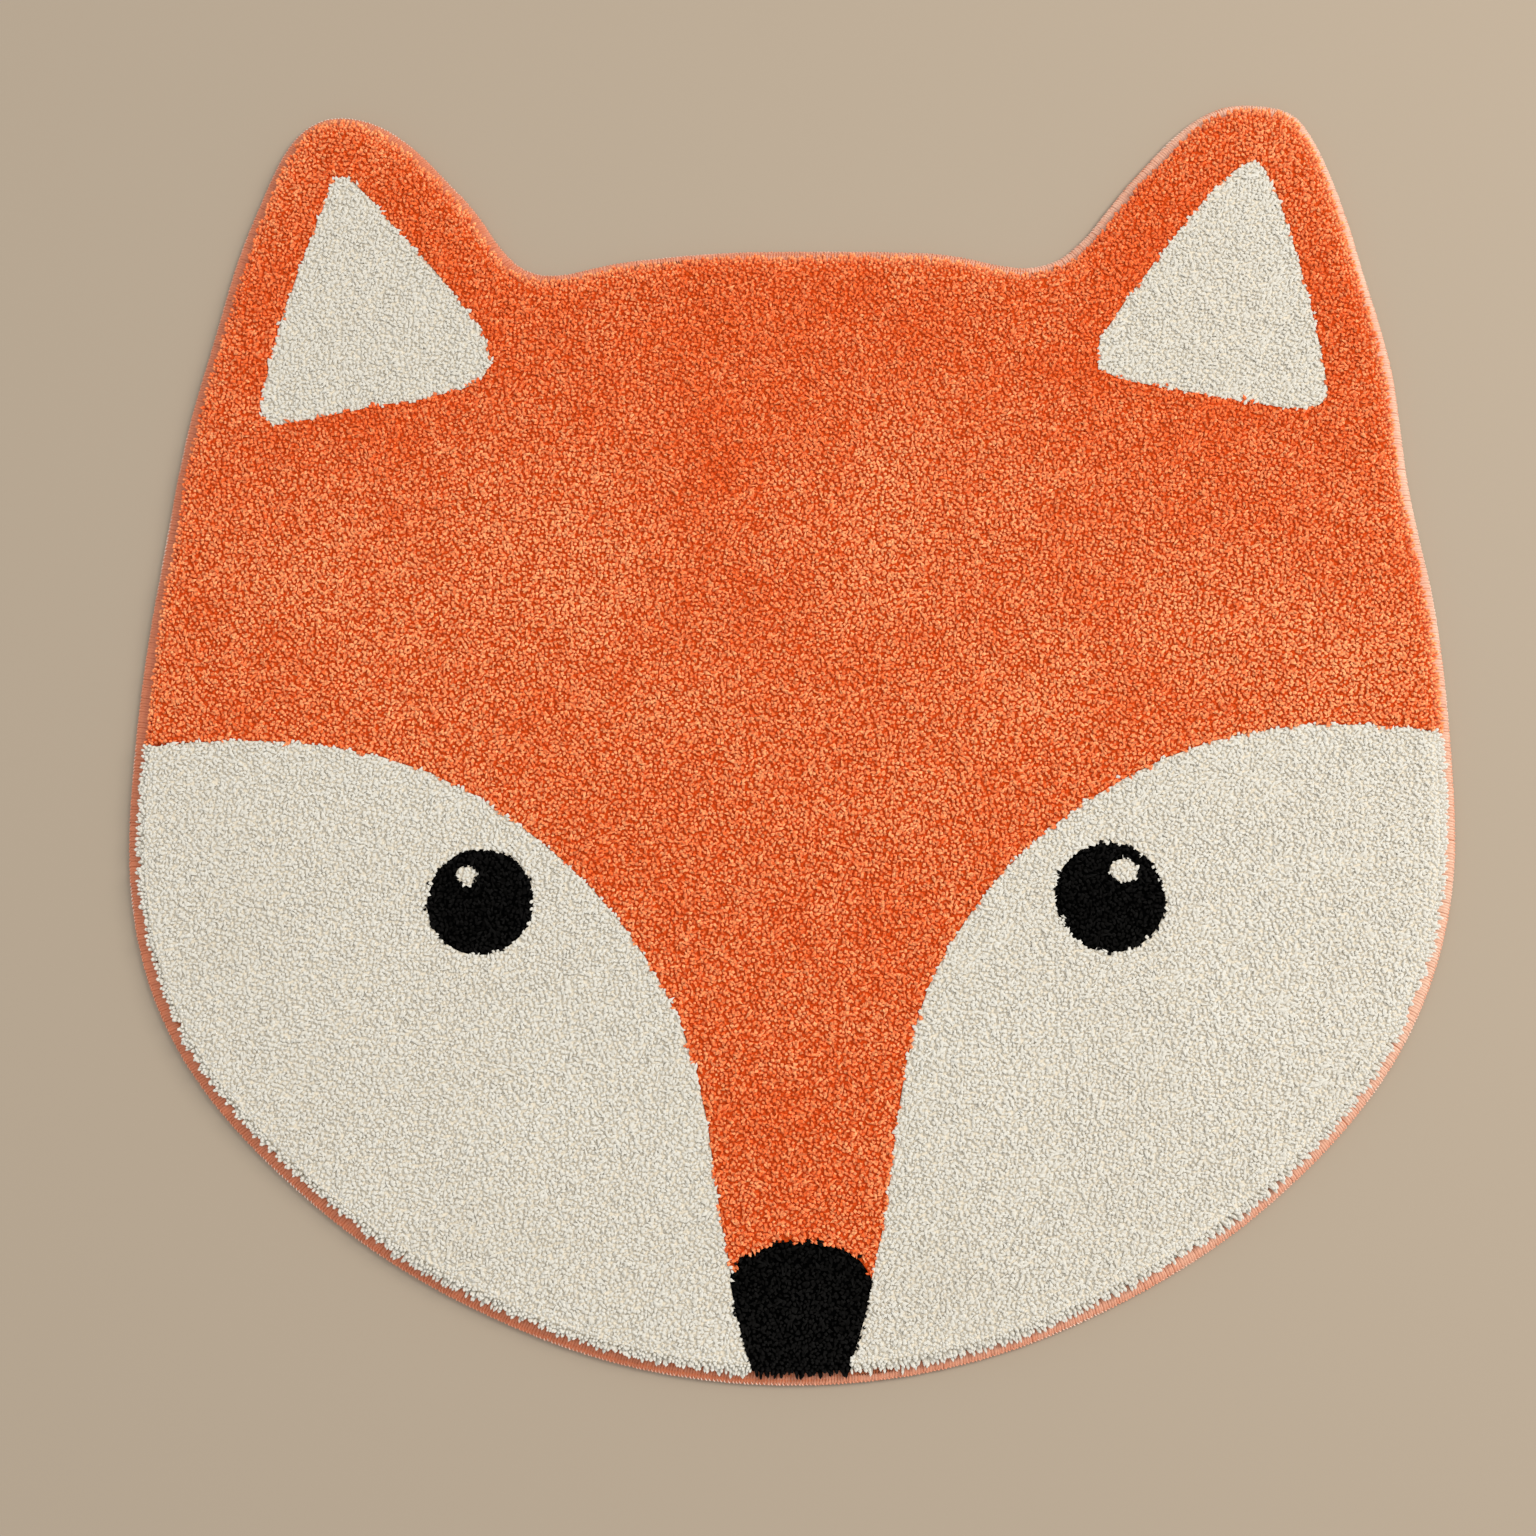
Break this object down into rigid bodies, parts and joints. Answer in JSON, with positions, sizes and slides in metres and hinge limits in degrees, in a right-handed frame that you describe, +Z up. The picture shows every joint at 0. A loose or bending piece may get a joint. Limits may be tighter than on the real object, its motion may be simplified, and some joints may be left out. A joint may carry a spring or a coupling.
{
  "type": "fox face rug",
  "caption": "Flat cut-pile rug for a child's room, shaped as a fox's face with two ears and a sewn edge binding.",
  "frame": {"origin": "middle of the rug's outline, on its underside", "axes": "+Z up through the pile, +Y towards the ears, -Y towards the chin, +X to the right as seen from above with the ears at the top"},
  "size_m": [1.0004, 0.993, 0.015],
  "materials": {
    "backing": "plain woven cotton and jute backing cloth, undyed",
    "edge_binding": "overlocked binding thread, pale orange",
    "yarn_orange": "soft cut pile, matt",
    "yarn_white": "soft cut pile, matt",
    "yarn_black": "soft cut pile, matt"
  },
  "bodies": {
    "root": {"backing": "backing", "edge_binding": "edge_binding", "pile_orange": "yarn_orange", "pile_cheek_left": "yarn_white", "pile_cheek_right": "yarn_white", "pile_ear_left": "yarn_white", "pile_ear_right": "yarn_white", "pile_eye_left": "yarn_black", "pile_eye_right": "yarn_black", "pile_glint_left": "yarn_white", "pile_glint_right": "yarn_white", "pile_nose": "yarn_black"}
  },
  "joints": []
}
